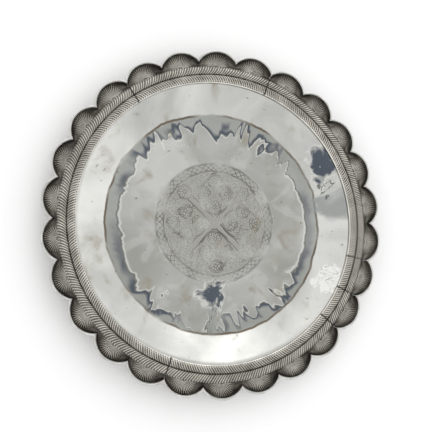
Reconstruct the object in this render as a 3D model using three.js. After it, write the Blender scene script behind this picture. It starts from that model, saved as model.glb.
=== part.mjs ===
// A shallow silver dish: a hand-raised pan with a flat floor and a wide sloping wall, inside a
// border of twenty-six shell-shaped lobes with a leaf garland. The border is soldered on in
// lengths, and a wire follows its scalloped edge.
// Millimetres, +Z up. The origin is the middle of the underside that the dish rests on.
import * as THREE from "three";

// Pan
const sheet = 1.2;
const floor_radius = 96.3;
const wall_run = 23.7;
const pan_height = 14.2;
const foot_bend = 2.4;

// Border: a garland with a groove along its middle, then the lobes
const border_inset = 1.4;
const border_sheet = 1;
const garland_width = 15;
const garland_rise = 1.9;
const groove_depth = 0.9;
const groove_width = 1.8;
const lobe_reach = 12.1;
const notch_reach = 3.4;
const lobe_depth = 2.6;
const rim_rise = 2.9;

// Edge wire and solder
const wire_diameter = 1.6;
const solder_gap = 0.3;
const flange_setback = 1.9;

// Lobes in each length of the border, from the first seam round, and where that seam is
const lobes_per_length = [6, 4, 9, 5, 1, 1];
const first_seam_lobe = -1;

// Fineness of the surfaces
const pan_steps = 104;
const bend_steps = 3;
const steps_per_lobe = 8;
const garland_steps = 6;
const cup_steps = 5;
const wire_sides = 6;

// Places that follow from the sizes
const lobe_count = lobes_per_length.reduce((sum, lobes) => sum + lobes);
const pitch = (2 * Math.PI) / lobe_count;
const wall_top_radius = floor_radius + wall_run;
const garland_inner_radius = wall_top_radius + border_inset;
const garland_outer_radius = garland_inner_radius + garland_width;
const flange_radius = garland_outer_radius - flange_setback;
const border_base = pan_height + solder_gap + border_sheet;

// Each lobe's edge is the arc through its tip and the two notches beside it.
const tip_radius = garland_outer_radius + lobe_reach;
const notch_radius = garland_outer_radius + notch_reach;
const notch_across = notch_radius * Math.cos(pitch / 2);
const lobe_centre_radius = (tip_radius ** 2 - notch_radius ** 2) / (2 * (tip_radius - notch_across));
const lobe_radius = tip_radius - lobe_centre_radius;

const silver = (name, color, roughness) =>
  new THREE.MeshStandardMaterial({ name, color, roughness, metalness: 1 });
const polished = silver("polished_silver", 0xc9c8c2, 0.22);
const oxidised = silver("oxidised_silver", 0x77736b, 0.42);
const bright = silver("bright_edge_silver", 0xd6d4cc, 0.3);

function piece(name, geometry, material) {
  const mesh = new THREE.Mesh(geometry, material);
  mesh.name = name;
  return mesh;
}

function geometry_of(positions, index) {
  const geometry = new THREE.BufferGeometry();
  geometry.setAttribute("position", new THREE.Float32BufferAttribute(positions, 3));
  geometry.setIndex(index);
  geometry.computeVertexNormals();
  return geometry;
}

// One face of the pan's sheet in section, from the axis to the flange's edge. The underside is the
// same line moved down by the sheet, with its bends moved out so that the wall keeps its thickness.
function pan_line(drop) {
  const slope = Math.atan2(pan_height - sheet, wall_run);
  const out = drop * Math.tan(slope / 2);
  const line = [new THREE.Vector2(0, sheet - drop)];
  for (let i = 0; i <= bend_steps; i++) {
    const turn = (slope * i) / bend_steps;
    const bend_radius = foot_bend / Math.tan(slope / 2);
    const run = bend_radius * Math.sin(turn) - foot_bend;
    const rise = bend_radius * (1 - Math.cos(turn));
    line.push(new THREE.Vector2(floor_radius + out + run, sheet - drop + rise));
  }
  line.push(new THREE.Vector2(wall_top_radius + out, pan_height - drop));
  line.push(new THREE.Vector2(flange_radius, pan_height - drop));
  return line;
}

function pan() {
  const outline = [...pan_line(sheet), ...pan_line(0).reverse()];
  const geometry = new THREE.LatheGeometry(outline, pan_steps);
  return piece("pan", geometry.rotateX(Math.PI / 2), polished);
}

// Distance from the axis to the scalloped edge, moved outwards by an offset.
function scallop(angle, offset) {
  const turns = angle / pitch;
  const from_middle = (turns - Math.floor(turns) - 0.5) * pitch;
  const across = lobe_centre_radius * Math.sin(from_middle);
  const reach = lobe_radius + offset;
  return lobe_centre_radius * Math.cos(from_middle) + Math.sqrt(reach ** 2 - across ** 2);
}

// Height of the garland's top over the border's base, across its width from 0 to 1.
function garland_height(across) {
  const swell = Math.sin(Math.PI * across);
  const from_groove = ((across - 0.5) * garland_width) / groove_width;
  return garland_rise * Math.sqrt(swell) - groove_depth * Math.exp(-(from_groove ** 2));
}

// Height of a lobe's hollow over the border's base, from its foot at 0 to its rim at 1. The hollow
// is as deep as the lobe is long there, so it runs out towards the notches.
function cup_height(along, length) {
  const hollow = lobe_depth * (length / lobe_reach) * Math.sin(Math.PI * along);
  return rim_rise * along ** 3 - hollow;
}

// The border's top along one radius, as distances from the axis and heights.
function border_line(angle) {
  const line = [];
  for (let i = 0; i <= garland_steps; i++) {
    const across = i / garland_steps;
    line.push([garland_inner_radius + across * garland_width, border_base + garland_height(across)]);
  }
  const length = scallop(angle, 0) - garland_outer_radius;
  for (let i = 1; i <= cup_steps; i++) {
    const along = Math.sin((i / cup_steps) * (Math.PI / 2));
    line.push([garland_outer_radius + along * length, border_base + cup_height(along, length)]);
  }
  return line;
}

// A length of border between two seams: a closed sheet, cut back at each end by half a solder gap.
function border_length(name, first_lobe, lobes) {
  const columns = lobes * steps_per_lobe;
  const cut_back = solder_gap / 2 / garland_inner_radius;
  const top = [];
  const underside = [];
  for (let i = 0; i <= columns; i++) {
    const angle = (first_lobe + i / steps_per_lobe) * pitch;
    let placed = angle;
    if (i === 0) placed += cut_back;
    if (i === columns) placed -= cut_back;
    for (const [radius, height] of border_line(angle)) {
      top.push(radius * Math.cos(placed), radius * Math.sin(placed), height);
      underside.push(radius * Math.cos(placed), radius * Math.sin(placed), height - border_sheet);
    }
  }
  const rows = garland_steps + cup_steps + 1;
  const index = [];
  const at = (i, j) => i * rows + j;
  const under = (i, j) => (columns + 1) * rows + at(i, j);
  const quad = (a, b, c, d) => index.push(a, b, c, a, c, d);
  for (let i = 0; i < columns; i++) {
    for (let j = 0; j < rows - 1; j++) {
      quad(at(i, j), at(i, j + 1), at(i + 1, j + 1), at(i + 1, j));
      quad(under(i, j), under(i + 1, j), under(i + 1, j + 1), under(i, j + 1));
    }
    quad(at(i, 0), at(i + 1, 0), under(i + 1, 0), under(i, 0));
    quad(at(i + 1, rows - 1), at(i, rows - 1), under(i, rows - 1), under(i + 1, rows - 1));
  }
  for (let j = 0; j < rows - 1; j++) {
    quad(at(0, j + 1), at(0, j), under(0, j), under(0, j + 1));
    quad(at(columns, j), at(columns, j + 1), under(columns, j + 1), under(columns, j));
  }
  return piece(name, geometry_of([...top, ...underside], index), oxidised);
}

// The wire round the scalloped edge, just outside it and level with the rim.
function edge_wire() {
  const radius = wire_diameter / 2;
  const middle = border_base + rim_rise - border_sheet / 2;
  const columns = lobe_count * steps_per_lobe;
  const positions = [];
  const index = [];
  const at = (i, j) => (i % columns) * wire_sides + (j % wire_sides);
  for (let i = 0; i < columns; i++) {
    const angle = (i / steps_per_lobe) * pitch;
    for (let j = 0; j < wire_sides; j++) {
      const turn = ((j + 0.5) / wire_sides) * 2 * Math.PI;
      const reach = scallop(angle, solder_gap + radius + radius * Math.cos(turn));
      positions.push(reach * Math.cos(angle), reach * Math.sin(angle), middle + radius * Math.sin(turn));
      index.push(at(i, j), at(i + 1, j), at(i + 1, j + 1));
      index.push(at(i, j), at(i + 1, j + 1), at(i, j + 1));
    }
  }
  return piece("edge_wire", geometry_of(positions, index), bright);
}

const dish = new THREE.Group();
dish.add(pan());
let seam_lobe = first_seam_lobe;
lobes_per_length.forEach((lobes, i) => {
  dish.add(border_length(`border_length_${i + 1}`, seam_lobe, lobes));
  seam_lobe += lobes;
});
dish.add(edge_wire());

export default dish;
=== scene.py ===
# %% [markdown]
# A shallow silver dish, about 300 mm across. Its flat floor is engraved, its wide wall is plain and
# polished, and its border is chased with small leaves and ends in twenty-six shell-shaped lobes.
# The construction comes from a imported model. This script gives it the surface a silversmith left.

# %% Load the construction
import math

import bpy
import numpy as np
from mathutils import Matrix, Vector
from mathutils.kdtree import KDTree


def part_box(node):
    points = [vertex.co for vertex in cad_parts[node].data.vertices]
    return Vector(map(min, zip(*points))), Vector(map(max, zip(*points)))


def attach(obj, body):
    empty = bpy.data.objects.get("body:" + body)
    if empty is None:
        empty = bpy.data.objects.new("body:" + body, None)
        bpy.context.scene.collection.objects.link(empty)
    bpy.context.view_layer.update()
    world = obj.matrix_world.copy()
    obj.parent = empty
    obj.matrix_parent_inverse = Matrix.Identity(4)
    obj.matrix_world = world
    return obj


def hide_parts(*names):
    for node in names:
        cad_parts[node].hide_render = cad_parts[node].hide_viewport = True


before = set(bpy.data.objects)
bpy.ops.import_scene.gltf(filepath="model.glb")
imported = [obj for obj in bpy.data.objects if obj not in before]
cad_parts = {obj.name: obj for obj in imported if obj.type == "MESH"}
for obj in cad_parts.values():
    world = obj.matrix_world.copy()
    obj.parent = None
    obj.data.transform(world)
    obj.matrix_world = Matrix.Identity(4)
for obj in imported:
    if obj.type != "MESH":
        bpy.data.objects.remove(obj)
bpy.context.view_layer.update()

# %% [markdown]
# The sizes below repeat the construction's own, in metres, so every fine surface lies on the plain
# solid that it stands for. The height of the pan's rim is read from the construction itself.

# %% Sizes of the construction
MM = 0.001
PAN_SHEET = 1.2 * MM
PAN_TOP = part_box("pan")[1][2]
FLOOR_RADIUS = 96.3 * MM
WALL_RUN = 23.7 * MM
BORDER_INSET = 1.4 * MM
BORDER_SHEET = 1.0 * MM
FLANGE_SETBACK = 1.9 * MM
GARLAND_WIDTH = 15 * MM
GARLAND_RISE = 1.9 * MM
GROOVE_DEPTH = 0.9 * MM
GROOVE_WIDTH = 1.8 * MM
LOBE_REACH = 12.1 * MM
NOTCH_REACH = 3.4 * MM
LOBE_DEPTH = 2.6 * MM
RIM_RISE = 2.9 * MM
SOLDER_GAP = 0.3 * MM
WIRE_RADIUS = 0.8 * MM
LOBES_PER_LENGTH = (6, 4, 9, 5, 1, 1)
FIRST_SEAM = -1

# %% Places that follow from the sizes
LOBES = sum(LOBES_PER_LENGTH)
PITCH = 2 * math.pi / LOBES
SEAMS = [FIRST_SEAM + sum(LOBES_PER_LENGTH[:k]) for k in range(len(LOBES_PER_LENGTH))]
WALL_TOP = FLOOR_RADIUS + WALL_RUN
GARLAND_INNER = WALL_TOP + BORDER_INSET
GARLAND_MIDDLE = GARLAND_INNER + GARLAND_WIDTH / 2
GARLAND_OUTER = GARLAND_INNER + GARLAND_WIDTH
FLANGE_RADIUS = GARLAND_OUTER - FLANGE_SETBACK
BORDER_BASE = PAN_TOP + SOLDER_GAP + BORDER_SHEET
WIRE_MIDDLE = BORDER_BASE + RIM_RISE - BORDER_SHEET / 2
TIP = GARLAND_OUTER + LOBE_REACH
NOTCH = GARLAND_OUTER + NOTCH_REACH
LOBE_CENTRE = (TIP**2 - NOTCH**2) / (2 * (TIP - NOTCH * math.cos(PITCH / 2)))
LOBE_RADIUS = TIP - LOBE_CENTRE
print("pan top", round(PAN_TOP / MM, 2), "lobe arc", round(LOBE_RADIUS / MM, 2), "mm")

# %% [markdown]
# Metal shows its finish by how it reflects. Three finishes are enough: hand-polished silver with
# faint stains, chased silver that is dark in its hollows and bright on its ridges, and a rubbed
# edge. Each is a Principled shader whose colour and scratches come mostly from noise at real sizes.
# Pictures of metal would do too, but nodes stay sharp up close and need no unwrapping.

# %% Helpers that wire nodes
def plug(tree, value, socket):
    """Link another node's output to a socket, or set the socket to a plain value."""
    if isinstance(value, bpy.types.NodeSocket):
        tree.links.new(value, socket)
    elif socket.type == "RGBA":
        socket.default_value = (*value, 1)
    else:
        socket.default_value = value


def add(tree, kind, settings=None, **sockets):
    """Add a node. A space in a socket's name is written as an underscore."""
    node = tree.nodes.new(kind)
    for name, value in (settings or {}).items():
        setattr(node, name, value)
    for name, value in sockets.items():
        plug(tree, value, node.inputs[name.replace("_", " ")])
    return node


def maths(tree, operation, first, second=0.0):
    node = add(tree, "ShaderNodeMath", {"operation": operation})
    plug(tree, first, node.inputs[0])
    plug(tree, second, node.inputs[1])
    return node.outputs[0]


def vector_maths(tree, operation, first, second=(0, 0, 0)):
    node = add(tree, "ShaderNodeVectorMath", {"operation": operation})
    plug(tree, first, node.inputs[0])
    plug(tree, second, node.inputs[1])
    return node.outputs


def mix(tree, factor, low, high):
    """A colour between two others. The node's inputs 6 and 7 are the ones for colours."""
    node = add(tree, "ShaderNodeMix", {"data_type": "RGBA"})
    plug(tree, factor, node.inputs[0])
    plug(tree, low, node.inputs[6])
    plug(tree, high, node.inputs[7])
    return node.outputs[2]


def ramp(tree, value, stops):
    node = add(tree, "ShaderNodeValToRGB", Fac=value)
    elements = node.color_ramp.elements
    while len(elements) < len(stops):
        elements.new(0.5)
    for element, (position, colour) in zip(elements, stops):
        element.position = position
        element.color = (*colour, 1)
    return node.outputs["Color"]


def noise(tree, place, scale, detail, distortion=0.0):
    sockets = {"Vector": place, "Scale": scale, "Detail": detail, "Distortion": distortion}
    return add(tree, "ShaderNodeTexNoise", **sockets).outputs["Fac"]


def wander(tree, place, amount, scale, detail, distortion=0.0, middle=0.5):
    """A smooth shift to either side, by up to half the amount."""
    swing = maths(tree, "SUBTRACT", noise(tree, place, scale, detail, distortion), middle)
    return maths(tree, "MULTIPLY", swing, amount)


# %% Helpers that start and finish a metal
SCRATCH_DEPTH = 0.2 * MM


def start_metal(name):
    material = bpy.data.materials.new(name)
    material.use_nodes = True
    tree = material.node_tree
    tree.nodes.clear()
    shader = add(tree, "ShaderNodeBsdfPrincipled", Metallic=1.0)
    add(tree, "ShaderNodeOutputMaterial", Surface=shader.outputs[0])
    place = tree.nodes.new("ShaderNodeTexCoord").outputs["Object"]
    return material, tree, shader, place


def finish_metal(tree, shader, colour, wear, roughness, grain, strength):
    """Colour, a roughness that follows the wear from one number to another, and fine scratches."""
    spread = add(tree, "ShaderNodeMapRange", Value=wear, To_Min=roughness[0], To_Max=roughness[1])
    scratches = add(tree, "ShaderNodeBump", Strength=strength, Distance=SCRATCH_DEPTH, Height=grain)
    plug(tree, colour, shader.inputs["Base Color"])
    plug(tree, spread.outputs[0], shader.inputs["Roughness"])
    plug(tree, scratches.outputs[0], shader.inputs["Normal"])
    return scratches


# %% [markdown]
# Many marks go round the pan or lie in one place on it. A mask is a number from 0 to 1 that says
# how much of a colour is laid over another. A pattern that goes round the dish is read on a circle
# of one size, lifted by a share of the distance from the axis. So it has no seam, and a small share
# draws it out along the radius.

# %% Masks and paint
def rise(tree, value, low, high):
    """A mask that rises smoothly from 0 to 1 as value goes from low to high."""
    smooth = {"interpolation_type": "SMOOTHSTEP"}
    node = add(tree, "ShaderNodeMapRange", smooth, Value=value, From_Min=low, From_Max=high)
    return node.outputs[0]


def fall(tree, value, low, high):
    """A mask that falls smoothly from 1 to 0 as value goes from low to high."""
    return maths(tree, "SUBTRACT", 1.0, rise(tree, value, low, high))


def near(tree, value, middle, inner, outer):
    """A mask that is 1 where value is within inner of the middle, and falls to 0 at outer."""
    off = maths(tree, "ABSOLUTE", maths(tree, "SUBTRACT", value, middle))
    return fall(tree, off, inner, outer)


def overlap(tree, *masks):
    """A mask that is 1 only where all the given ones are."""
    shared = masks[0]
    for mask in masks[1:]:
        shared = maths(tree, "MULTIPLY", shared, mask)
    return shared


def within(tree, value, start, end):
    """A mask that rises as value crosses the start, and falls as it crosses the end."""
    return overlap(tree, rise(tree, value, *start), fall(tree, value, *end))


def paint(tree, under, over, mask, strength):
    return mix(tree, maths(tree, "MULTIPLY", mask, strength), under, over)


# %% Places on the pan
RING_RADIUS = 82 * MM
WALL_MIDDLE = 8 * MM


def ring_place(tree, place, share):
    """Where a pattern that goes round the dish is read, and the distance from the axis."""
    split = add(tree, "ShaderNodeSeparateXYZ", Vector=place).outputs
    flat = add(tree, "ShaderNodeCombineXYZ", X=split["X"], Y=split["Y"]).outputs[0]
    radius = vector_maths(tree, "LENGTH", flat)["Value"]
    unit = vector_maths(tree, "NORMALIZE", flat)["Vector"]
    on_circle = vector_maths(tree, "MULTIPLY", unit, (RING_RADIUS,) * 3)["Vector"]
    lift = add(tree, "ShaderNodeCombineXYZ", Z=maths(tree, "MULTIPLY", radius, share)).outputs[0]
    return vector_maths(tree, "ADD", on_circle, lift)["Vector"], radius


def outside_spot(tree, place, x, y, reach, ragged, scale):
    """How far a point lies outside a ragged round spot on the pan. It is negative inside."""
    distance = vector_maths(tree, "DISTANCE", place, (x, y, WALL_MIDDLE))["Value"]
    edge = wander(tree, place, ragged, scale, detail=4, distortion=1.0)
    return maths(tree, "SUBTRACT", maths(tree, "ADD", distance, edge), reach)


# %% [markdown]
# The pan's silver is polished but old. Its wall is brighter than its floor, and the crease between
# them holds brown dirt. Where the floor begins to turn up it is darker, with a ragged border that
# shows a dark and a pale outline and runs inwards most at two sides. On one side of the wall lie a
# streaky painted shade, a dark mark and a bright crumpled patch. The cuts of the engraving are
# darker than the rest, with a painted highlight beside them. The colour is built up from the plain
# silver, one layer of marks over another.

# %% Colours of the pan
FLOOR_SILVER = (0.34, 0.34, 0.315)
FLOOR_PALE = (0.47, 0.475, 0.45)
RING_SILVER = (0.3, 0.315, 0.3)
WALL_SILVER = (0.49, 0.495, 0.47)
WALL_PALE = (0.68, 0.68, 0.65)
WALL_GREY = (0.31, 0.325, 0.315)
MEDALLION_SILVER = (0.35, 0.345, 0.315)
CRUMPLED_SILVER = (0.86, 0.86, 0.83)
PALE_LINE = (0.72, 0.73, 0.7)
DARK_LINE = (0.12, 0.12, 0.105)
TARNISH = (0.075, 0.09, 0.115)
DIRT = (0.15, 0.125, 0.095)
STAIN = (0.3, 0.27, 0.21)
CLOUD = (0.6, 0.6, 0.575)
ENGRAVED = (0.085, 0.08, 0.068)

# %% Places of the pan's marks
RAGGED_BORDER = 85 * MM
LEAST_RAGGED = 12 * MM
MORE_RAGGED = 78 * MM
FLOOR_CLOUD = dict(x=-46 * MM, y=44 * MM, reach=40 * MM, ragged=70 * MM, scale=22)
POOL = dict(x=-3 * MM, y=-61 * MM, reach=12 * MM, ragged=34 * MM, scale=70)
# Where a painted shade darkens one side of the wall
WALL_PAINTED_SHADE = dict(x=111 * MM, y=22 * MM, reach=24 * MM, ragged=30 * MM, scale=30)
DARK_MARK = dict(x=102 * MM, y=54 * MM, reach=14 * MM, ragged=34 * MM, scale=55)
MARK_TAIL = dict(x=101 * MM, y=33 * MM, reach=5 * MM, ragged=36 * MM, scale=75)
CRUMPLED_PATCH = dict(x=103 * MM, y=-50 * MM, reach=15 * MM, ragged=30 * MM, scale=60)


# %% Plain silver, clouds and dirt
def plain_silver(tree, place, radius):
    broad = noise(tree, place, scale=17, detail=5, distortion=0.8)
    floor = ramp(tree, broad, [(0.35, FLOOR_SILVER), (0.65, FLOOR_PALE)])
    wall = ramp(tree, broad, [(0.35, WALL_SILVER), (0.62, WALL_PALE)])
    on_wall = rise(tree, radius, FLOOR_RADIUS - 1 * MM, FLOOR_RADIUS + 1 * MM)
    return mix(tree, on_wall, floor, wall)


def paint_floor(tree, place, around, radius, colour):
    """The worn silver of the medallion, and clouds on the plain floor round it."""
    worked = fall(tree, radius, 44 * MM, 54 * MM)
    colour = paint(tree, colour, MEDALLION_SILVER, worked, strength=0.75)
    off_medallion = within(tree, radius, start=(50 * MM, 56 * MM), end=(84 * MM, 92 * MM))
    cloud = fall(tree, outside_spot(tree, place, **FLOOR_CLOUD), -22 * MM, 2 * MM)
    colour = paint(tree, colour, CLOUD, overlap(tree, cloud, off_medallion), strength=0.7)
    smears = rise(tree, noise(tree, around, scale=34, detail=5, distortion=1.2), 0.5, 0.62)
    return paint(tree, colour, CLOUD, overlap(tree, smears, off_medallion), strength=0.3)


def paint_dirt(tree, place, colour):
    stains = rise(tree, noise(tree, place, scale=42, detail=6, distortion=0.6), 0.56, 0.76)
    colour = paint(tree, colour, STAIN, stains, strength=0.75)
    specks = rise(tree, noise(tree, place, scale=230, detail=2), 0.7, 0.76)
    return paint(tree, colour, DIRT, specks, strength=0.6)


# %% The ragged ring, the pool and the crease
def outside_border(tree, around, radius, upright):
    """How far a point lies outside the ring's border, which is most ragged where upright is 1."""
    ragged = maths(tree, "MULTIPLY", rise(tree, upright, 0.35, 0.95), MORE_RAGGED)
    ragged = maths(tree, "ADD", ragged, LEAST_RAGGED)
    inwards = wander(tree, around, ragged, scale=40, detail=2.2, distortion=1.7, middle=0.49)
    return maths(tree, "SUBTRACT", maths(tree, "ADD", radius, inwards), RAGGED_BORDER)


def paint_ring(tree, place, colour):
    around, radius = ring_place(tree, place, share=0.42)
    split = add(tree, "ShaderNodeSeparateXYZ", Vector=place).outputs
    upright = maths(tree, "ABSOLUTE", maths(tree, "DIVIDE", split["Y"], radius))
    outside = outside_border(tree, around, radius, upright)
    on_floor = within(tree, radius, start=(53 * MM, 57 * MM), end=(94 * MM, 97 * MM))
    ring = overlap(tree, rise(tree, outside, 0, 1 * MM), on_floor)
    colour = paint(tree, colour, RING_SILVER, ring, strength=0.55)
    beside_border = fall(tree, outside, 2.5 * MM, 9 * MM)
    patchy = rise(tree, noise(tree, around, scale=21, detail=3), 0.42, 0.58)
    patchy = overlap(tree, patchy, rise(tree, upright, -0.4, 0.7))
    colour = paint(tree, colour, TARNISH, overlap(tree, beside_border, patchy, ring), strength=0.95)
    pale = near(tree, outside, -1.9 * MM, 0.5 * MM, 1.3 * MM)
    colour = paint(tree, colour, PALE_LINE, overlap(tree, pale, on_floor), strength=0.5)
    dark = near(tree, outside, 0, 0.4 * MM, 1.1 * MM)
    return paint(tree, colour, DARK_LINE, overlap(tree, dark, on_floor), strength=0.7)


def paint_pool(tree, place, colour):
    """A dark pool in a pale outline, below the medallion."""
    outside = outside_spot(tree, place, **POOL)
    outline = near(tree, outside, 1.4 * MM, 0.4 * MM, 1.3 * MM)
    colour = paint(tree, colour, PALE_LINE, outline, strength=0.55)
    return paint(tree, colour, TARNISH, fall(tree, outside, -3 * MM, 0.3 * MM), strength=0.95)


def paint_crease(tree, place, colour):
    around, radius = ring_place(tree, place, share=0.2)
    wavering = maths(tree, "ADD", radius, wander(tree, around, amount=6 * MM, scale=60, detail=5))
    line = near(tree, wavering, FLOOR_RADIUS, 0.45 * MM, 1.4 * MM)
    patchy = rise(tree, noise(tree, around, scale=34, detail=3), 0.3, 0.6)
    return paint(tree, colour, DIRT, line, strength=patchy)


# %% The marks and the painted shade on the wall, and the engraving with its painted highlights
def paint_wall_marks_and_shade(tree, place, colour):
    around, _ = ring_place(tree, place, share=0.3)
    # A painted shade in streaks darkens one side of the wall.
    painted_shade = fall(tree, outside_spot(tree, place, **WALL_PAINTED_SHADE), -8 * MM, 0)
    streaky = rise(tree, noise(tree, around, scale=60, detail=5, distortion=0.7), 0.36, 0.6)
    colour = paint(tree, colour, WALL_GREY, overlap(tree, painted_shade, streaky), strength=0.9)
    outside = outside_spot(tree, place, **DARK_MARK)
    outline = near(tree, outside, 1.2 * MM, 0.4 * MM, 1.2 * MM)
    colour = paint(tree, colour, PALE_LINE, outline, strength=0.6)
    mark = fall(tree, outside, -5 * MM, 0.4 * MM)
    colour = paint(tree, colour, TARNISH, mark, strength=0.97)
    glints = rise(tree, noise(tree, place, scale=240, detail=3), 0.66, 0.72)
    colour = paint(tree, colour, PALE_LINE, overlap(tree, glints, mark), strength=0.9)
    tail = near(tree, outside_spot(tree, place, **MARK_TAIL), 0, 0.5 * MM, 1.4 * MM)
    return paint(tree, colour, DARK_LINE, tail, strength=0.85)


def paint_crumpled_patch(tree, place, colour):
    patch = fall(tree, outside_spot(tree, place, **CRUMPLED_PATCH), -2 * MM, 0)
    colour = paint(tree, colour, CRUMPLED_SILVER, patch, strength=0.8)
    creases = noise(tree, place, scale=85, detail=2, distortion=1.8)
    folds = near(tree, creases, middle=0.5, inner=0.008, outer=0.03)
    return paint(tree, colour, WALL_GREY, overlap(tree, folds, patch), strength=0.6)


def paint_engraving(tree, place, colour):
    """Dark cuts with a painted highlight beside them, and the dots of the ground between."""
    cut = add(tree, "ShaderNodeAttribute", {"attribute_name": "engraving"}).outputs["Fac"]
    ground = add(tree, "ShaderNodeAttribute", {"attribute_name": "ground"}).outputs["Fac"]
    dots = overlap(tree, ground, rise(tree, noise(tree, place, scale=700, detail=2), 0.45, 0.62))
    worn = rise(tree, noise(tree, place, scale=55, detail=4), 0.25, 0.62)
    # A pale band beside each cut is a painted highlight.
    cut_highlight = near(tree, cut, middle=0.2, inner=0.06, outer=0.19)
    colour = paint(tree, colour, PALE_LINE, cut_highlight, strength=0.4)
    faint_dots = maths(tree, "MULTIPLY", dots, 0.22)
    dark = maths(tree, "MAXIMUM", overlap(tree, cut, worn), faint_dots)
    return paint(tree, colour, ENGRAVED, dark, strength=0.95)


# %% The polished silver of the pan
DENT_DEPTH = 1 * MM
PAN_MARKS = (paint_dirt, paint_ring, paint_pool, paint_crease,
             paint_wall_marks_and_shade, paint_crumpled_patch, paint_engraving)


def polished_silver():
    material, tree, shader, place = start_metal("polished_silver")
    around, radius = ring_place(tree, place, share=1.0)
    colour = paint_floor(tree, place, around, radius, plain_silver(tree, place, radius))
    for paint_mark in PAN_MARKS:
        colour = paint_mark(tree, place, colour)
    wear = noise(tree, place, scale=60, detail=5)
    grain = noise(tree, place, scale=900, detail=3)
    scratches = finish_metal(tree, shader, colour, wear, (0.2, 0.42), grain, 0.15)
    hollows = noise(tree, around, scale=45, detail=3)
    dents = add(tree, "ShaderNodeBump", Strength=0.5, Distance=DENT_DEPTH, Height=hollows)
    plug(tree, dents.outputs[0], scratches.inputs["Normal"])
    return material


# %% [markdown]
# The border was blackened and then rubbed, so its hollows are dark and its ridges bright. Each lobe
# also has a painted dark reflection towards its rim, and painted shade further on one side. The
# nodes can't tell a hollow from a ridge, so the border's meshes bring an attribute that says how
# light each point is. Painted shadows darken the gaps between the leaves' tips, and solder shows
# where lengths meet.

# %% The chased silver of the border
HOLLOW = (0.035, 0.032, 0.027)
MIDDLE = (0.29, 0.27, 0.235)
RIDGE = (0.95, 0.92, 0.85)
LEAVES_PER_LOBE = 14
LEAF_LEAN = 4.2 * MM


def tip_shadows(tree, place):
    """Painted shadows between the tips of the leaves, along both edges of the garland."""
    split = add(tree, "ShaderNodeSeparateXYZ", Vector=place).outputs
    angle = maths(tree, "ARCTAN2", split["Y"], split["X"])
    behind = maths(tree, "ADD", angle, LEAF_LEAN / GARLAND_MIDDLE)
    wave = maths(tree, "COSINE", maths(tree, "MULTIPLY", behind, LEAVES_PER_LOBE * LOBES))
    _, radius = ring_place(tree, place, share=1.0)
    inner = near(tree, radius, GARLAND_INNER + 1.3 * MM, 0.4 * MM, 0.7 * MM)
    outer = near(tree, radius, GARLAND_OUTER - 0.6 * MM, 0.5 * MM, 0.9 * MM)
    return overlap(tree, fall(tree, wave, -0.7, 0.1), maths(tree, "MAXIMUM", inner, outer))


def seam_lines(tree, place):
    """Dark solder where two lengths of the border meet."""
    dark = 0.0
    for seam in SEAMS:
        x, y = math.cos(seam * PITCH), math.sin(seam * PITCH)
        across = vector_maths(tree, "DOT_PRODUCT", place, (-y, x, 0))["Value"]
        along = vector_maths(tree, "DOT_PRODUCT", place, (x, y, 0))["Value"]
        line = near(tree, across, 0, 0.3 * MM, 1.0 * MM)
        dark = maths(tree, "MAXIMUM", overlap(tree, line, rise(tree, along, 0, 10 * MM)), dark)
    return dark


def chased_silver():
    material, tree, shader, place = start_metal("chased_silver")
    light = add(tree, "ShaderNodeAttribute", {"attribute_name": "relief"}).outputs["Fac"]
    uneven = maths(tree, "ADD", light, wander(tree, place, amount=0.5, scale=110, detail=5))
    colour = ramp(tree, uneven, [(0.0, HOLLOW), (0.45, MIDDLE), (1.0, RIDGE)])
    grime = rise(tree, noise(tree, place, scale=30, detail=4, distortion=0.5), 0.48, 0.7)
    colour = paint(tree, colour, HOLLOW, grime, strength=0.3)
    # Painted shadows in the gaps between the leaves' tips.
    colour = paint(tree, colour, HOLLOW, tip_shadows(tree, place), strength=0.9)
    colour = paint(tree, colour, HOLLOW, seam_lines(tree, place), strength=0.85)
    grain = noise(tree, place, scale=1200, detail=2)
    finish_metal(tree, shader, colour, light, (0.55, 0.28), grain, 0.3)
    return material


# %% [markdown]
# Hands and cloths rub the dish's edge most, so the wire is the brightest metal of the border. Only
# its lower half keeps the border's grey, which a mask on the height gives.

# %% The rubbed silver of the edge
EDGE_SILVER = (0.5, 0.49, 0.46)
EDGE_PALE = (0.74, 0.74, 0.71)


def edge_silver():
    material, tree, shader, place = start_metal("edge_silver")
    rubbed = noise(tree, place, scale=120, detail=4)
    colour = ramp(tree, rubbed, [(0.3, EDGE_SILVER), (0.7, EDGE_PALE)])
    height = add(tree, "ShaderNodeSeparateXYZ", Vector=place).outputs["Z"]
    low = fall(tree, height, WIRE_MIDDLE, WIRE_MIDDLE + 0.5 * MM)
    colour = paint(tree, colour, MIDDLE, low, strength=0.8)
    wear = noise(tree, place, scale=200, detail=4)
    grain = noise(tree, place, scale=700, detail=3)
    finish_metal(tree, shader, colour, wear, (0.25, 0.45), grain, 0.15)
    return material


pan_finish, border_finish, edge_finish = polished_silver(), chased_silver(), edge_silver()
print("finishes", pan_finish.name, border_finish.name, edge_finish.name)

# %% [markdown]
# Every sheet here goes round the axis. One helper joins a grid of points, in rows and columns, into
# faces, and closes the ring where the last column meets the first. Another gives the finished mesh
# its place in the construction, and takes away the plain solid that it stands for.

# %% Helpers for sheets that go round the axis
def grid_faces(rows, columns, closed, first=0, flipped=False):
    last = columns if closed else columns - 1
    i, j = np.meshgrid(np.arange(rows - 1), np.arange(last), indexing="ij")
    k = (j + 1) % columns
    quads = [i * columns + j, (i + 1) * columns + j, (i + 1) * columns + k, i * columns + k]
    quads = np.stack(quads, -1).reshape(-1, 4) + first
    return (quads[:, ::-1] if flipped else quads).tolist()


def add_object(name, data):
    made = bpy.data.objects.new(name, data)
    bpy.context.scene.collection.objects.link(made)
    return made


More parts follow.
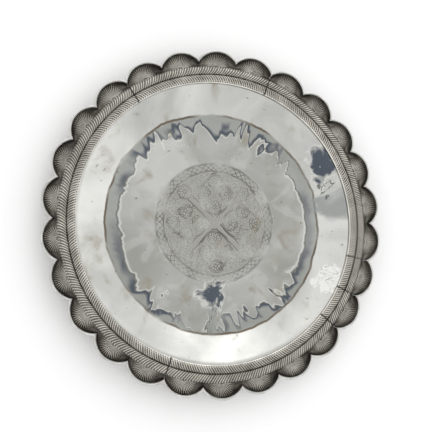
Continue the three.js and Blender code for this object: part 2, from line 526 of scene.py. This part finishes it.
def make_mesh(name, points, faces, material, attributes):
    mesh = bpy.data.meshes.new(name)
    mesh.from_pydata(np.asarray(points).tolist(), [], faces)
    mesh.validate()
    for label, values in attributes.items():
        layer = mesh.attributes.new(label, "FLOAT", "POINT")
        layer.data.foreach_set("value", np.asarray(values, np.float32))
    mesh.shade_smooth()
    mesh.materials.append(material)
    return mesh


def place_piece(name, mesh, nodes=()):
    piece = add_object(name, mesh)
    if nodes:
        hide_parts(*nodes)
    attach(piece, "root")
    mesh.calc_loop_triangles()
    print(name, len(mesh.loop_triangles), "triangles")


def polar(radius, angle, height):
    return np.stack([radius * np.cos(angle), radius * np.sin(angle), height], -1)


def scallop(angle, offset=0.0):
    """Distance from the axis to the scalloped edge, moved outwards by an offset."""
    from_middle = (np.mod(angle / PITCH, 1) - 0.5) * PITCH
    across = LOBE_CENTRE * np.sin(from_middle)
    return LOBE_CENTRE * np.cos(from_middle) + np.sqrt((LOBE_RADIUS + offset) ** 2 - across**2)


# %% [markdown]
# The medallion is drawn first as lines, as an engraver would scribe it: a plaited band between
# circles, four pointed petals with a double outline, crossed bands, flowers, and curls of stem in
# the room that is left. The depth of the cut then follows from how far each point of the floor is
# from the nearest line. A picture of the drawing would be blurred at this fineness.

# %% Sizes of the medallion
MEDALLION = 53 * MM
MEDALLION_CIRCLES = (MEDALLION, 51.9 * MM, 46.3 * MM, 45.4 * MM)
PLAIT_MIDDLE = 49.1 * MM
PLAIT_SWING = 2.0 * MM
PLAIT_WAVES = 30
PETAL_OUTLINES = ((5 * MM, 44 * MM, 14.5 * MM), (7 * MM, 42 * MM, 13.2 * MM))
BAND_START = 4.4 * MM
BAND_END = 32 * MM
BAND_LINES = (-2.9 * MM, -2.1 * MM, 2.1 * MM, 2.9 * MM)
CURL_SPACING = 3.7 * MM
CURL_GRID = 44 * MM
CURLS_REACH = 43.5 * MM
FLOWER_CLEARANCE = 5.2 * MM
BAND_CLEARANCE = 4.6 * MM
STEM_RADIUS = 6.6 * MM
CURL_SEED = 17
FLOWER_SEED = 23

# Where the flowers of each quarter lie: their distance from the middle and their turn
FLOWERS = ((14 * MM, 0), (28 * MM, -0.38), (28 * MM, 0.38), (38 * MM, 0), (38 * MM, math.pi / 4))
QUARTERS = [quarter * math.pi / 2 for quarter in range(4)]


# %% Lines of the engraving
def on_plan(radius, angle):
    return np.stack([radius * np.cos(angle), radius * np.sin(angle)], -1)


def arc(centre, radius, start, end, steps):
    return centre + on_plan(radius, np.linspace(start, end, steps))


def turned(line, angle, distance=0.0, scale=1.0):
    """A line scaled, moved along x by the distance and then turned about the middle."""
    line = line * scale + np.array([distance, 0])
    x, y = math.cos(angle), math.sin(angle)
    return line @ np.array([[x, y], [-y, x]])


def rosette(petals):
    """A small flower: a round middle, and a bow and a vein for each petal."""
    lines = [arc((0, 0), 0.9 * MM, 0, 2 * math.pi, 14)]
    bow = arc((0, 0), 1.15 * MM, -2.0, 2.0, 14)
    vein = np.array([[1.3, 0], [3.4, 0]]) * MM
    for petal in range(petals):
        angle = petal * 2 * math.pi / petals
        lines += [turned(bow, angle, 2.9 * MM), turned(vein, angle)]
    return lines


def petal_outline(start, end, half_width):
    t = np.linspace(0, 1, 60)
    side = half_width * np.sin(math.pi * t**0.9) ** 0.8
    return [np.stack([start + (end - start) * t, way * side], -1) for way in (-1, 1)]


def plait():
    """Two waved lines that cross each other all the way round."""
    t = np.linspace(0, 2 * math.pi, 1200)
    for phase in (0, math.pi):
        yield on_plan(PLAIT_MIDDLE + PLAIT_SWING * np.sin(PLAIT_WAVES * t + phase), t)


def off_diagonal(x, y):
    """How far a point is from the nearer diagonal, measured along x or y."""
    return np.minimum(np.abs(x - y), np.abs(x + y))


# %% Curls and flowers
def scroll(random):
    """A small curl of a stem, drawn anew each time."""
    t = np.linspace(0, 1, 16)
    turn = random.choice([-1, 1]) * random.uniform(3.5, 6) * t + random.uniform(0, 2 * math.pi)
    return on_plan(random.uniform(1.6, 2.6) * MM * (1 - 0.7 * t), turn)


def scrolls(flowers):
    """Curls on a loose grid, left out where a flower or a crossed band lies."""
    random = np.random.default_rng(CURL_SEED)
    grid = np.arange(-CURL_GRID, CURL_GRID + CURL_SPACING / 2, CURL_SPACING)
    for x in grid:
        for y in grid:
            place = np.array([x, y]) + random.uniform(-1, 1, 2) * MM
            reach = np.linalg.norm(place)
            on_band = off_diagonal(*place) < BAND_CLEARANCE and reach < BAND_END
            to_flower = min(np.linalg.norm(place - flower) for flower in flowers)
            if reach < CURLS_REACH and to_flower >= FLOWER_CLEARANCE and not on_band:
                yield scroll(random) + place


def flower_places():
    return [on_plan(reach, quarter + turn) for quarter in QUARTERS for reach, turn in FLOWERS]


def medallion_lines():
    random = np.random.default_rng(FLOWER_SEED)
    lines = [arc((0, 0), radius, 0, 2 * math.pi, 400) for radius in MEDALLION_CIRCLES]
    lines += list(plait())
    band = [np.array([[BAND_START, y], [BAND_END, y]]) for y in BAND_LINES]
    for quarter in QUARTERS:
        for outline in PETAL_OUTLINES:
            lines += [turned(line, quarter) for line in petal_outline(*outline)]
        lines += [turned(line, quarter + math.pi / 4) for line in band]
    for flower in flower_places():
        turn, size = random.uniform(0, 2 * math.pi), random.uniform(1.25, 1.6)
        petals = int(random.integers(6, 9))
        lines += [turned(line, turn, scale=size) + flower for line in rosette(petals)]
        lines.append(arc(flower, STEM_RADIUS, turn, turn + random.uniform(2, 4), 30))
    return lines


# %% Search trees that find the nearest line
SEARCH_GAP = 0.2 * MM


def along_lines(lines):
    """Points about one gap apart along every line."""
    points = []
    for line in lines:
        for start, end in zip(line[:-1], line[1:]):
            steps = max(1, int(np.linalg.norm(end - start) / SEARCH_GAP))
            points += [start + (end - start) * share for share in np.arange(steps) / steps]
    return points


def search_tree(lines):
    points = along_lines(lines)
    found = KDTree(len(points))
    for number, (x, y) in enumerate(points):
        found.insert((x, y, 0), number)
    found.balance()
    print("points along engraved lines", len(points))
    return found


main_lines = search_tree(medallion_lines())
fine_lines = search_tree(scrolls(flower_places()))

# %% [markdown]
# The pan is beaten from one sheet. Its top is a grid of points, closest together where it is
# engraved, with shallow hammer marks and the engraving as real cuts. Cutting each line out of a
# plain sheet would be slow and could break it, while a height for every point keeps it closed. The
# underside is plain and much coarser.

# %% The pan's shape and its hammer marks
FOOT_BEND = 0.8 * MM
SHOULDER_BEND = 0.6 * MM
BROAD_DENTS = 0.12 * MM
CLOSE_DENTS = 0.06 * MM


def pan_height(radius):
    """Height of the flat floor, the straight wall and the flange, with the bends between rounded."""
    wall = PAN_SHEET + (radius - FLOOR_RADIUS) * (PAN_TOP - PAN_SHEET) / WALL_RUN
    lifted = 0.5 * (wall + PAN_SHEET + np.sqrt((wall - PAN_SHEET) ** 2 + FOOT_BEND**2))
    return 0.5 * (lifted + PAN_TOP - np.sqrt((lifted - PAN_TOP) ** 2 + SHOULDER_BEND**2))


def waves(x, y, seed, count, shortest, longest):
    """A smooth random surface of height about 1, with wavelengths between the two given."""
    random = np.random.default_rng(seed)
    total = np.zeros_like(x)
    for _ in range(count):
        turn, phase = random.uniform(0, 2 * math.pi, 2)
        length = random.uniform(shortest, longest)
        total += np.sin((x * math.cos(turn) + y * math.sin(turn)) * 2 * math.pi / length + phase)
    return total / math.sqrt(count)


def hammer_marks(radius, angle):
    """Broad shallow dents all over, and closer ones round the outer floor."""
    x, y = radius * np.cos(angle), radius * np.sin(angle)
    on_ring = np.exp(-(((radius - RING_RADIUS) / (12 * MM)) ** 2))
    off_border = np.clip((WALL_TOP - radius) / (6 * MM), 0, 1)
    broad = waves(x, y, seed=3, count=24, shortest=30 * MM, longest=90 * MM)
    close = waves(x, y, seed=5, count=24, shortest=12 * MM, longest=26 * MM)
    return off_border * (BROAD_DENTS * broad + CLOSE_DENTS * on_ring * close)


# %% The cuts of the engraving
CUT_DEPTH = 0.14 * MM
CUT_WIDTH = 0.4 * MM
FINE_WIDTH = 0.34 * MM
FINE_SHARE = 0.75
SHAKE = 0.25 * MM
SMOOTH_BAND = 2.6 * MM
STIPPLED = 45 * MM
STIPPLED_EDGE = 52 * MM


def cut_depth(distance, width):
    """Depth of a round-bottomed cut, as a share, at a distance from its middle."""
    return math.exp(-((distance / width) ** 2))


def engrave(radius, angle):
    """How deep the cut is at each point, from 0 to 1, and where the stippled ground lies."""
    x, y = radius * np.cos(angle), radius * np.sin(angle)
    shaky_x = x + SHAKE * waves(x, y, seed=31, count=10, shortest=6 * MM, longest=20 * MM)
    shaky_y = y + SHAKE * waves(x, y, seed=32, count=10, shortest=6 * MM, longest=20 * MM)
    cut = np.zeros(radius.shape)
    for k in np.flatnonzero(radius.ravel() < MEDALLION + 1 * MM):
        point = (shaky_x.flat[k], shaky_y.flat[k], 0)
        main = cut_depth(main_lines.find(point)[2], CUT_WIDTH)
        fine = cut_depth(fine_lines.find(point)[2], FINE_WIDTH)
        cut.flat[k] = max(main, FINE_SHARE * fine)
    pressure = 0.75 + 0.35 * waves(x, y, seed=33, count=12, shortest=15 * MM, longest=50 * MM)
    smooth = off_diagonal(x, y) < SMOOTH_BAND
    ground = np.where((radius < STIPPLED) & ~smooth, 1.0, 0.25)
    return cut * np.clip(pressure, 0.3, 1), ground * (radius < STIPPLED_EDGE)


# %% The pan
PAN_COLUMNS = 720
FLAT_BELOW = 93 * MM

# Rings of points on the top, in mm: each stretch's first ring, its last, and how many it has
TOP_RINGS = ((0.4, 53.8, 96), (55, 92, 9), (93.2, 99.5, 8),
             (101.5, 117, 6), (118, 122, 6), (125, 130, 2))
LOW_RINGS = (121, 119, 99, 97.5, 96, 93, 50, 0.4)


def pan_faces(rows, low_rows):
    """Faces of the top, the underside, the edge between them, and the fans at their middles."""
    under = rows * PAN_COLUMNS
    edge, last = under - PAN_COLUMNS, under + (low_rows - 1) * PAN_COLUMNS
    top_middle = last + PAN_COLUMNS
    low_middle = top_middle + 1
    faces = grid_faces(rows, PAN_COLUMNS, closed=True)
    faces += grid_faces(low_rows, PAN_COLUMNS, closed=True, first=under)
    for j in range(PAN_COLUMNS):
        k = (j + 1) % PAN_COLUMNS
        faces.append([edge + j, under + j, under + k, edge + k])
        faces.append([top_middle, j, k])
        faces.append([last + j, low_middle, last + k])
    return faces


def make_pan():
    angles = np.arange(PAN_COLUMNS) / PAN_COLUMNS * 2 * math.pi
    top_rings = np.concatenate([np.linspace(*stretch) for stretch in TOP_RINGS]) * MM
    radius, angle = np.meshgrid([*top_rings, FLANGE_RADIUS], angles, indexing="ij")
    cut, ground = engrave(radius, angle)
    height = pan_height(radius) + hammer_marks(radius, angle) - CUT_DEPTH * cut
    top = polar(radius, angle, height).reshape(-1, 3)
    low_rings = np.array(LOW_RINGS) * MM
    low_radius, low_angle = np.meshgrid([FLANGE_RADIUS, *low_rings], angles, indexing="ij")
    low_height = np.maximum(pan_height(low_radius) - PAN_SHEET, 0)
    low_height[low_radius <= FLAT_BELOW] = 0
    bottom = polar(low_radius, low_angle, low_height).reshape(-1, 3)
    middles = [[0, 0, PAN_SHEET], [0, 0, 0]]
    points = np.concatenate([top, bottom, middles])
    plain = [0.0] * (len(bottom) + len(middles))
    marks = {"engraving": [*cut.ravel(), *plain], "ground": [*ground.ravel(), *plain]}
    faces = pan_faces(len(radius), len(low_radius))
    mesh = make_mesh("pan_surface", points, faces, pan_finish, marks)
    place_piece("pan_surface", mesh, ["pan"])


make_pan()

# %% [markdown]
# The border is chased from a strip of sheet. Under its leaves it is a rounded band with a groove,
# and each lobe is a hollow that is dark towards its rim. Its height follows a rule, so a formula
# makes it. It is made in the lengths that are soldered end to end, each a closed sheet.

# %% Height of the border
def garland_height(radius):
    across = np.clip((radius - GARLAND_INNER) / GARLAND_WIDTH, 0, 1)
    from_groove = (across - 0.5) * GARLAND_WIDTH / GROOVE_WIDTH
    swell = np.sqrt(np.clip(np.sin(math.pi * across), 0, 1))
    return BORDER_BASE + GARLAND_RISE * swell - GROOVE_DEPTH * np.exp(-(from_groove**2))


def cup_height(radius, angle):
    length = scallop(angle) - GARLAND_OUTER
    along = np.clip((radius - GARLAND_OUTER) / length, 0, 1)
    hollow = LOBE_DEPTH * length / LOBE_REACH * np.sin(math.pi * along)
    return BORDER_BASE + RIM_RISE * along**3 - hollow


def border_height(radius, angle):
    return np.where(radius > GARLAND_OUTER, cup_height(radius, angle), garland_height(radius))


# %% Lightness of the border, from patina and painted shade: 0 in the hollows and 1 on the ridges
# The lobes' painted shade reaches least far on this side.
PAINTED_LIT_SIDE = math.radians(20)
GARLAND_LIGHT = 0.26
EDGE_LIGHT = 0.7
INNER_EDGE_LIGHT = 0.95
CUP_DARKEST = 0.03
CUP_LIGHT = 0.24
UNDERSIDE_LIGHT = 0.6


def garland_light(radius):
    """Dull under the leaves, dark in the groove and bright along both edges."""
    across = (radius - GARLAND_INNER) / GARLAND_WIDTH
    under_leaves = GARLAND_LIGHT - GARLAND_LIGHT * np.exp(-(((across - 0.5) / 0.05) ** 2))
    edges = np.where((across < 0.14) | (across > 0.9), EDGE_LIGHT, under_leaves)
    return np.where(across < 0.06, INNER_EDGE_LIGHT, edges)


def cup_patina_and_shade(radius, angle):
    """Patina and a painted dark reflection towards the rim; painted shade reaches further opposite
    the lit side.
    """
    to_rim = (scallop(angle) - radius) / LOBE_REACH
    painted_shade_stretch = 0.45 - 0.2 * np.cos(angle - PAINTED_LIT_SIDE)
    return CUP_DARKEST + CUP_LIGHT * np.clip((to_rim - 0.12) / painted_shade_stretch, 0, 1)


# %% The border's lengths
COLUMNS_PER_LOBE = 48
GARLAND_ROWS = 31
CUP_ROWS = 27
LOW_STEP = 3


def border_grid(garland, cup, angles):
    """Radius, height and lightness at shares of the garland's width and of the lobes' length."""
    band = np.repeat((GARLAND_INNER + garland * GARLAND_WIDTH)[:, None], len(angles), 1)
    hollow = GARLAND_OUTER + cup[:, None] * (scallop(angles) - GARLAND_OUTER)
    radius = np.concatenate([band, hollow])
    light = np.where(radius > GARLAND_OUTER, cup_patina_and_shade(radius, angles), garland_light(radius))
    return radius, border_height(radius, angles), light


def length_faces(rows, low_rows, columns):
    """Faces of the top, the underside, the two long edges and the two ends."""
    under = rows * columns
    outer, low_outer = under - columns, under + (low_rows - 1) * columns
    faces = grid_faces(rows, columns, closed=False)
    faces += grid_faces(low_rows, columns, closed=False, first=under, flipped=True)
    for j in range(columns - 1):
        faces.append([j + 1, under + j + 1, under + j, j])
        faces.append([outer + j, low_outer + j, low_outer + j + 1, outer + j + 1])
    end = [i * columns for i in range(rows)]
    end += [under + i * columns for i in reversed(range(low_rows))]
    faces.append(end[::-1])
    faces.append([k + columns - 1 for k in end])
    return faces


def make_length(number, first_lobe, lobes):
    columns = lobes * COLUMNS_PER_LOBE + 1
    angles = first_lobe * PITCH + np.linspace(0, lobes * PITCH, columns)
    cut_back = SOLDER_GAP / 2 / GARLAND_INNER
    placed = angles.copy()
    placed[0] += cut_back
    placed[-1] -= cut_back
    garland = np.linspace(0, 1, GARLAND_ROWS)
    cup = np.sin(np.linspace(0, math.pi / 2, CUP_ROWS + 1)[1:])
    radius, height, light = border_grid(garland, cup, angles)
    low_garland, low_cup = garland[::LOW_STEP], cup[LOW_STEP - 1 :: LOW_STEP]
    low_radius, low_height, _ = border_grid(low_garland, low_cup, angles)
    top = polar(radius, placed, height).reshape(-1, 3)
    bottom = polar(low_radius, placed, low_height - BORDER_SHEET).reshape(-1, 3)
    marks = {"relief": np.concatenate([light.ravel(), np.full(len(bottom), UNDERSIDE_LIGHT)])}
    faces = length_faces(len(radius), len(low_radius), columns)
    name = f"border_length_{number}"
    mesh = make_mesh(name, np.concatenate([top, bottom]), faces, border_finish, marks)
    place_piece(name + "_chased", mesh, [name])


for number, (first_lobe, lobes) in enumerate(zip(SEAMS, LOBES_PER_LENGTH), 1):
    make_length(number, first_lobe, lobes)

# %% [markdown]
# The garland has hundreds of leaves and the lobes hundreds of flutes, each with the same shape as
# its neighbours. A silversmith chases them one by one. Here Geometry Nodes put one made shape at
# every step round the axis. A small random turn at each step makes the leaves look done by hand.

# %% Starting, ending and running a tree of Geometry Nodes
def start_tree(name, inputs):
    tree = bpy.data.node_groups.new(name, "GeometryNodeTree")
    for label, kind in inputs.items():
        tree.interface.new_socket(label, in_out="INPUT", socket_type="NodeSocket" + kind)
    tree.interface.new_socket("Shape", in_out="OUTPUT", socket_type="NodeSocketGeometry")
    return tree, tree.nodes.new("NodeGroupInput").outputs


def end_tree(tree, shape, finish):
    real = add(tree, "GeometryNodeRealizeInstances", Geometry=shape).outputs[0]
    done = add(tree, "GeometryNodeSetMaterial", Geometry=real, Material=finish).outputs[0]
    tree.links.new(done, tree.nodes.new("NodeGroupOutput").inputs[0])
    return tree


def run_tree(name, mesh, tree, values):
    """The plain mesh that a tree of Geometry Nodes makes from the one given."""
    source = add_object(name + "_source", mesh)
    modifier = source.modifiers.new("made_by_rule", "NODES")
    modifier.node_group = tree
    for socket in tree.interface.items_tree:
        if socket.in_out == "INPUT" and socket.name in values:
            modifier[socket.identifier] = values[socket.name]
    source.update_tag()
    graph = bpy.context.evaluated_depsgraph_get()
    made = bpy.data.meshes.new_from_object(source.evaluated_get(graph))
    bpy.data.objects.remove(source)
    made.shade_smooth()
    made.name = name
    return made


# %% A tree that repeats a shape round the axis
JITTER_SEED = 7


def repeat_tree():
    inputs = {"Shape": "Geometry", "Count": "Int", "Jitter": "Float", "Finish": "Material"}
    tree, given = start_tree("repeat_round_the_axis", inputs)
    points = add(tree, "GeometryNodePoints", Count=given["Count"]).outputs[0]
    pitch = maths(tree, "DIVIDE", 2 * math.pi, given["Count"])
    index = tree.nodes.new("GeometryNodeInputIndex").outputs[0]
    chance = add(tree, "FunctionNodeRandomValue", {"data_type": "FLOAT"}, Seed=JITTER_SEED)
    plug(tree, -1, chance.inputs[2])  # the lowest number; the highest is 1 by itself
    shift = maths(tree, "MULTIPLY", chance.outputs[1], given["Jitter"])
    turn = maths(tree, "ADD", maths(tree, "MULTIPLY", index, pitch), shift)
    spin = add(tree, "ShaderNodeCombineXYZ", Z=turn).outputs[0]
    sockets = {"Points": points, "Instance": given["Shape"], "Rotation": spin}
    placed = add(tree, "GeometryNodeInstanceOnPoints", **sockets).outputs[0]
    return end_tree(tree, placed, given["Finish"])


round_tree = repeat_tree()


def repeat_round(name, shape, count, jitter):
    points, faces, light = shape
    one = make_mesh(name, points, faces, border_finish, {"relief": light})
    values = {"Count": count, "Jitter": jitter, "Finish": border_finish}
    place_piece(name, run_tree(name, one, round_tree, values))


# %% [markdown]
# A leaf and a flute are both tapering ridges that follow the sheet under them. Each is a closed
# strip with a crest: its foot lies a little under the surface, so no gap shows beside it.

# %% A ridge that follows the sheet
RIDGE_SUNK = 0.05 * MM
KEEL_SUNK = 0.3 * MM
RIDGE_FOOT_LIGHT = 0.3


def ridge(radius, angle, half_width, crest):
    """Points, faces and lightness of a ridge. Each step has an edge, a crest, an edge and a keel."""
    outwards, sideways = np.gradient(radius), np.gradient(angle) * radius
    step = np.hypot(outwards, sideways)
    edge = (-RIDGE_SUNK, RIDGE_FOOT_LIGHT)
    points, light = [], []
    for side, (lift, shade) in ((-1, edge), (0, (crest, 1.0)), (1, edge), (0, (-KEEL_SUNK, 0.0))):
        reach = radius - side * half_width * sideways / step
        turn = angle + side * half_width * outwards / step / radius
        points.append(polar(reach, turn, border_height(reach, turn) + lift))
        light.append(np.full(len(radius), shade))
    faces = []
    last = 4 * (len(radius) - 1)
    for first in range(0, last, 4):
        for side in range(4):
            here, beside = first + side, first + (side + 1) % 4
            faces.append([here, here + 4, beside + 4, beside])
    faces += [[0, 1, 2, 3], [last + 3, last + 2, last + 1, last]]
    return np.stack(points, 1).reshape(-1, 3), faces, np.stack(light, 1).ravel()


def joined(ridges):
    """Several ridges as one shape."""
    points, faces, light = [], [], []
    for more_points, more_faces, more_light in ridges:
        faces += [[k + len(points) for k in face] for face in more_faces]
        points += list(more_points)
        light += list(more_light)
    return points, faces, light


# %% [markdown]
# The garland is two rows of leaf strokes, one to each side of the groove. All lean the same way
# round, and each is widest near its rounded tip. One stroke is made for each row and repeated, as a
# chasing tool of one shape is struck over and over.

# %% The garland's leaves
LEAF_START = 0.5 * MM
LEAF_REACH = 5.9 * MM
LEAF_JITTER = 0.0014


def garland_leaf(side):
    """One leaf, from the groove outwards where side is 1 and inwards where it is -1."""
    t = np.linspace(0, 1, 9)
    radius = GARLAND_MIDDLE + side * (LEAF_START + LEAF_REACH * t)
    angle = -LEAF_LEAN * t**0.65 / GARLAND_MIDDLE
    tip = np.sqrt(np.clip(1 - ((t - 0.75) / 0.27) ** 2, 0.1, 1))
    half_width = (0.3 + 0.42 * t) * MM * np.where(t > 0.75, tip, 1)
    crest = (0.2 + 0.35 * t) * MM * np.sin(math.pi * (0.2 + 0.7 * t)) ** 0.6
    return ridge(radius, angle, half_width, crest)


repeat_round("outer_leaves", garland_leaf(1), LEAVES_PER_LOBE * LOBES, LEAF_JITTER)
repeat_round("inner_leaves", garland_leaf(-1), LEAVES_PER_LOBE * LOBES, LEAF_JITTER)

# %% [markdown]
# Each lobe is a shell: its flutes spread from one root under the garland and stop short of its
# edge. Every flute runs as far as its lobe allows, so one fan is worked out and then repeated.

# %% The flutes of the lobes
FLUTES = 17
FAN_SPREAD = math.radians(80)
FLUTE_ROOT = GARLAND_OUTER - 0.5 * MM
FLUTE_START = 1.6 * MM
FLUTE_MARGIN = 1.1 * MM
FLUTE_RISE = 0.42 * MM


def along_flute(lean, distance):
    """Radius and angle of points on a line that leaves the root of the first lobe at a lean."""
    x, y = FLUTE_ROOT + distance * math.cos(lean), distance * math.sin(lean)
    return np.hypot(x, y), np.arctan2(y, x) + PITCH / 2


def flute_length(lean):
    """The longest distance from the root that is still inside the lobe."""
    distance = np.linspace(0, LOBE_REACH, 60)
    radius, angle = along_flute(lean, distance)
    inside = (radius < scallop(angle) - FLUTE_MARGIN) & (np.abs(angle - PITCH / 2) < 0.48 * PITCH)
    return distance[inside].max()


def flute(lean):
    t = np.linspace(0, 1, 7)
    distance = FLUTE_START + (flute_length(lean) - FLUTE_START) * t
    half_width = (0.16 + 0.36 * t) * MM
    crest = FLUTE_RISE * np.sin(math.pi * (0.15 + 0.8 * t)) ** 0.7
    points, faces, light = ridge(*along_flute(lean, distance), half_width, crest)
    # The flutes fade towards the rim with the lobe's patina and painted dark reflection.
    fade = np.clip(1.3 - (distance / LOBE_REACH) ** 2, 0.25, 1)
    return points, faces, light * np.repeat(fade, 4)


fan = joined([flute(lean) for lean in np.linspace(-FAN_SPREAD, FAN_SPREAD, FLUTES)])
repeat_round("lobe_flutes", fan, LOBES, 0.0)

# %% [markdown]
# The edge wire is a round wire bent to the scallops and soldered just outside the sheet. Its middle
# line is a closed path at the same distance from every lobe, and Geometry Nodes sweep a circle
# along that path, as drawn wire has one thickness all the way.

# %% The edge wire
WIRE_SIDES = 12
WIRE_STEPS_PER_LOBE = 40


def wire_tree():
    inputs = {"Path": "Geometry", "Wire radius": "Float", "Finish": "Material"}
    tree, given = start_tree("wire_along_a_path", inputs)
    line = add(tree, "GeometryNodeMeshToCurve", Mesh=given["Path"]).outputs[0]
    sockets = {"Resolution": WIRE_SIDES, "Radius": given["Wire radius"]}
    section = add(tree, "GeometryNodeCurvePrimitiveCircle", **sockets).outputs[0]
    swept = add(tree, "GeometryNodeCurveToMesh", Curve=line, Profile_Curve=section).outputs[0]
    return end_tree(tree, swept, given["Finish"])


def make_wire():
    steps = LOBES * WIRE_STEPS_PER_LOBE
    angles = np.arange(steps) / steps * 2 * math.pi
    reach = scallop(angles, SOLDER_GAP + WIRE_RADIUS)
    points = polar(reach, angles, np.full(steps, WIRE_MIDDLE))
    path = bpy.data.meshes.new("edge_path")
    path.from_pydata(points.tolist(), [(k, (k + 1) % steps) for k in range(steps)], [])
    values = {"Wire radius": WIRE_RADIUS, "Finish": edge_finish}
    made = run_tree("edge_wire_round", path, wire_tree(), values)
    place_piece("edge_wire_round", made, ["edge_wire"])


make_wire()

# %% [markdown]
# The dish lies on a white floor under soft light from the right and from behind. The floor's own
# colour is nearly white, so it looks white and still takes the dish's shadow. The world looks white
# to the camera and in the metal, whatever its light is set to.

# %% The floor
WHITE = (1, 1, 1)
FLOOR_WHITE = (0.97, 0.97, 0.97)
FLOOR_REACH = 3.0
FLOOR_DROP = 0.02 * MM


def make_floor():
    corners = [(x * FLOOR_REACH, y * FLOOR_REACH, -FLOOR_DROP)
               for x, y in ((-1, -1), (1, -1), (1, 1), (-1, 1))]
    mesh = bpy.data.meshes.new("floor")
    mesh.from_pydata(corners, [], [(0, 1, 2, 3)])
    floor = add_object("floor", mesh)
    material = bpy.data.materials.new("white_floor")
    material.use_nodes = True
    tree = material.node_tree
    shader = tree.nodes["Principled BSDF"]
    plug(tree, FLOOR_WHITE, shader.inputs["Base Color"])
    plug(tree, 0.9, shader.inputs["Roughness"])
    plug(tree, 0, shader.inputs["Specular IOR Level"])
    mesh.materials.append(material)


make_floor()

# %% The light
WORLD_LIGHT = 1.0
SOFTBOX_SIZE = 2.4
SOFTBOXES = {"right_softbox": ((3.0, 0.6, 2.0), 5), "back_softbox": ((0.9, 3.0, 2.0), 17)}


def make_light(name, place, power):
    lamp = bpy.data.lights.new(name, "AREA")
    lamp.size = SOFTBOX_SIZE
    lamp.energy = power
    light = add_object(name, lamp)
    light.location = place
    light.rotation_euler = (-Vector(place)).to_track_quat("-Z", "Y").to_euler()
    print(name, "at", place, "with", power, "watts")


def make_world():
    world = bpy.data.worlds.new("studio")
    world.use_nodes = True
    tree = world.node_tree
    path = tree.nodes.new("ShaderNodeLightPath").outputs
    seen = maths(tree, "MAXIMUM", path["Is Camera Ray"], path["Is Glossy Ray"])
    seen = maths(tree, "MAXIMUM", seen, path["Is Transmission Ray"])
    light = tree.nodes["Background"]
    plug(tree, WHITE, light.inputs["Color"])
    plug(tree, WORLD_LIGHT, light.inputs["Strength"])
    white = add(tree, "ShaderNodeBackground", Strength=1.0, Color=WHITE)
    shown = tree.nodes.new("ShaderNodeMixShader")
    plug(tree, seen, shown.inputs[0])
    plug(tree, light.outputs[0], shown.inputs[1])
    plug(tree, white.outputs[0], shown.inputs[2])
    plug(tree, shown.outputs[0], tree.nodes["World Output"].inputs[0])
    bpy.context.scene.world = world


for name, (place, power) in SOFTBOXES.items():
    make_light(name, place, power)
make_world()

# %% [markdown]
# The photograph looks down at the dish from its lower left, about 17 degrees off its axis, from a
# little over two dish widths away. So the camera starts straight above the dish, at that distance,
# and is tilted by that angle about a line that lies across the direction it looks in.

# %% The camera
TILT = math.radians(17.1)
TOWARDS = math.radians(23.4)
DISTANCE = 658 * MM
AIM_HEIGHT = 4.9 * MM
FRAME_PIXELS = 432
FOCAL_PIXELS = 757
CENTRE_Y = 222.5


def make_camera():
    data = bpy.data.cameras.new("camera")
    data.lens = data.sensor_width * FOCAL_PIXELS / FRAME_PIXELS
    data.shift_y = (CENTRE_Y - FRAME_PIXELS / 2) / FRAME_PIXELS
    camera = add_object("camera", data)
    aim = Matrix.Translation((0, 0, AIM_HEIGHT))
    tilt = Matrix.Rotation(-TILT, 4, (-math.sin(TOWARDS), math.cos(TOWARDS), 0))
    camera.matrix_world = aim @ tilt @ Matrix.Translation((0, 0, DISTANCE))
    bpy.context.scene.camera = camera
    print("lens", round(data.lens, 1), "mm, camera", round(DISTANCE, 3), "m from the dish")


make_camera()
bpy.context.scene.view_settings.view_transform = "Standard"
